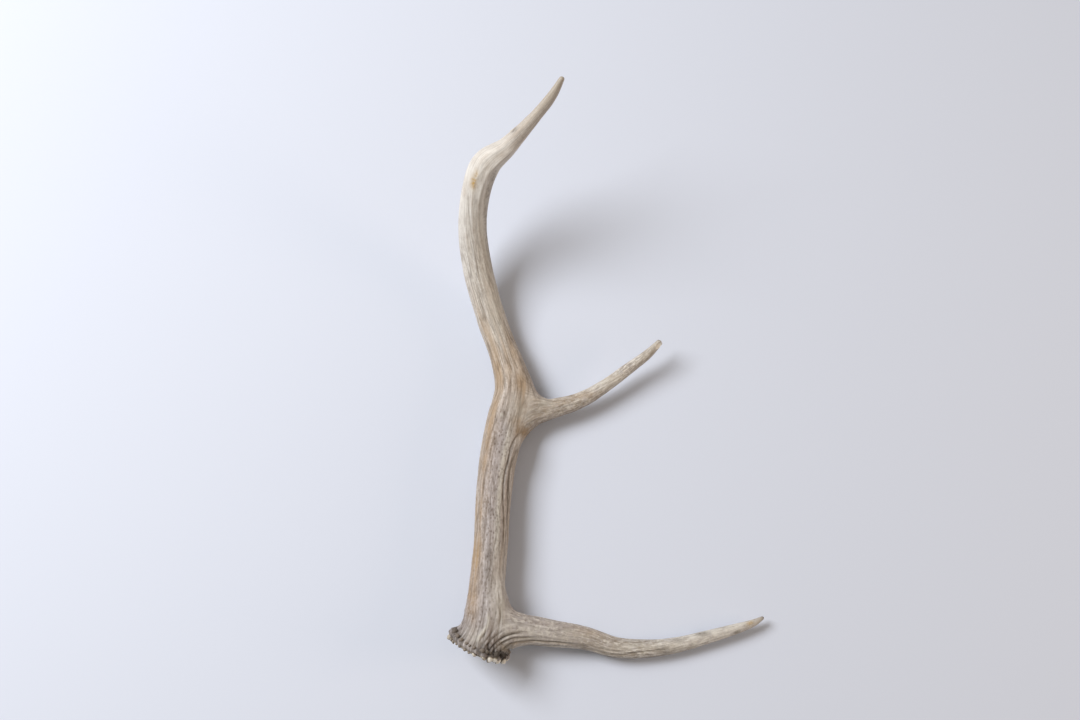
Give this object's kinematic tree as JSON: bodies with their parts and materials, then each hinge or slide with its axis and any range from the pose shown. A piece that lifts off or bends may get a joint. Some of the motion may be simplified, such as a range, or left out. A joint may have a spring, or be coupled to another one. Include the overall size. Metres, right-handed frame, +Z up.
{
  "type": "deer antler",
  "caption": "Shed deer antler: a curved beam with a beaded burr at its foot, a long brow tine, a shorter middle tine with a broken end, and a pointed curled tip.",
  "frame": {"origin": "on the surface the antler lies on, under the centre of its bounding box", "axes": "+Z up off the surface, +Y from the burr towards the top of the beam, +X towards the side that the tines grow on"},
  "size_m": [0.2944, 0.5181, 0.1832],
  "materials": {
    "antler_bone": "weathered bone, dry and matt, grey-brown in the furrows and ivory on the ridges and tips"
  },
  "bodies": {
    "root": {"lower_beam": "antler_bone", "brow_tine": "antler_bone", "middle_tine": "antler_bone", "upper_beam": "antler_bone"}
  },
  "joints": []
}
